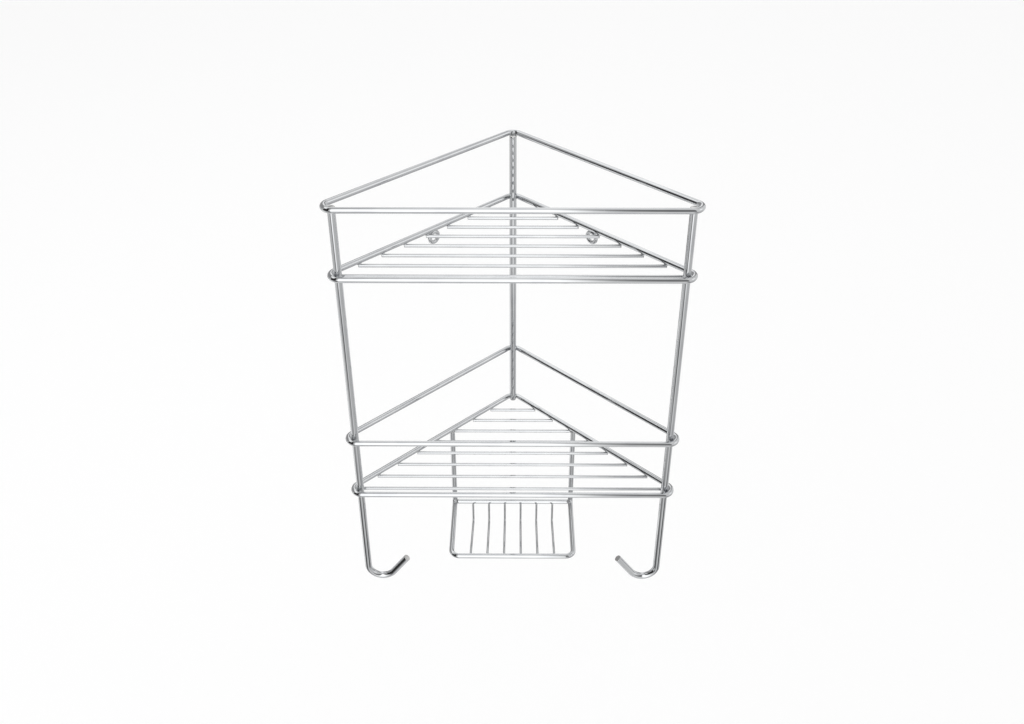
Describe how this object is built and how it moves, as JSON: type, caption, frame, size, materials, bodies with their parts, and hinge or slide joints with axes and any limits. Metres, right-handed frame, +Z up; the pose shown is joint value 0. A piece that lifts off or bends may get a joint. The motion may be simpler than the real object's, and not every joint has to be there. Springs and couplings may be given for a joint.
{
  "type": "corner shower caddy",
  "caption": "Corner shower caddy of bent and welded chrome wire: stacked triangular shelves with guard rails, a hanging soap dish, J-hooks and wall eyelets.",
  "frame": {"origin": "on the vertical line where the two walls meet, level with the centres of the two wall eyelets' holes", "axes": "+Z up, +Y into the wall corner away from the user, +X to the right of a user who faces the corner"},
  "size_m": [0.2976, 0.1595, 0.412],
  "materials": {
    "rail_chrome": "bright polished chrome plate",
    "post_chrome": "bright polished chrome plate",
    "slat_chrome": "bright polished chrome plate",
    "dish_chrome": "bright polished chrome plate",
    "eyelet_chrome": "bright chrome plate on pressed washers"
  },
  "bodies": {
    "root": {"top_guard_rail": "rail_chrome", "upper_rim": "rail_chrome", "lower_guard_rail": "rail_chrome", "lower_rim": "rail_chrome", "back_post": "post_chrome", "left_post_hook": "post_chrome", "right_post_hook": "post_chrome", "upper_slat_1": "slat_chrome", "upper_slat_2": "slat_chrome", "upper_slat_3": "slat_chrome", "upper_slat_4": "slat_chrome", "upper_slat_5": "slat_chrome", "upper_slat_6": "slat_chrome", "upper_slat_7": "slat_chrome", "upper_slat_8": "slat_chrome", "lower_slat_1": "slat_chrome", "lower_slat_2": "slat_chrome", "lower_slat_3": "slat_chrome", "lower_slat_4": "slat_chrome", "lower_slat_5": "slat_chrome", "lower_slat_6": "slat_chrome", "lower_slat_7": "slat_chrome", "lower_slat_8": "slat_chrome", "dish_frame": "dish_chrome", "dish_cross_bar": "dish_chrome", "dish_slat_1": "dish_chrome", "dish_slat_2": "dish_chrome", "dish_slat_3": "dish_chrome", "dish_slat_4": "dish_chrome", "dish_slat_5": "dish_chrome", "dish_slat_6": "dish_chrome", "left_eyelet": "eyelet_chrome", "right_eyelet": "eyelet_chrome"}
  },
  "joints": []
}
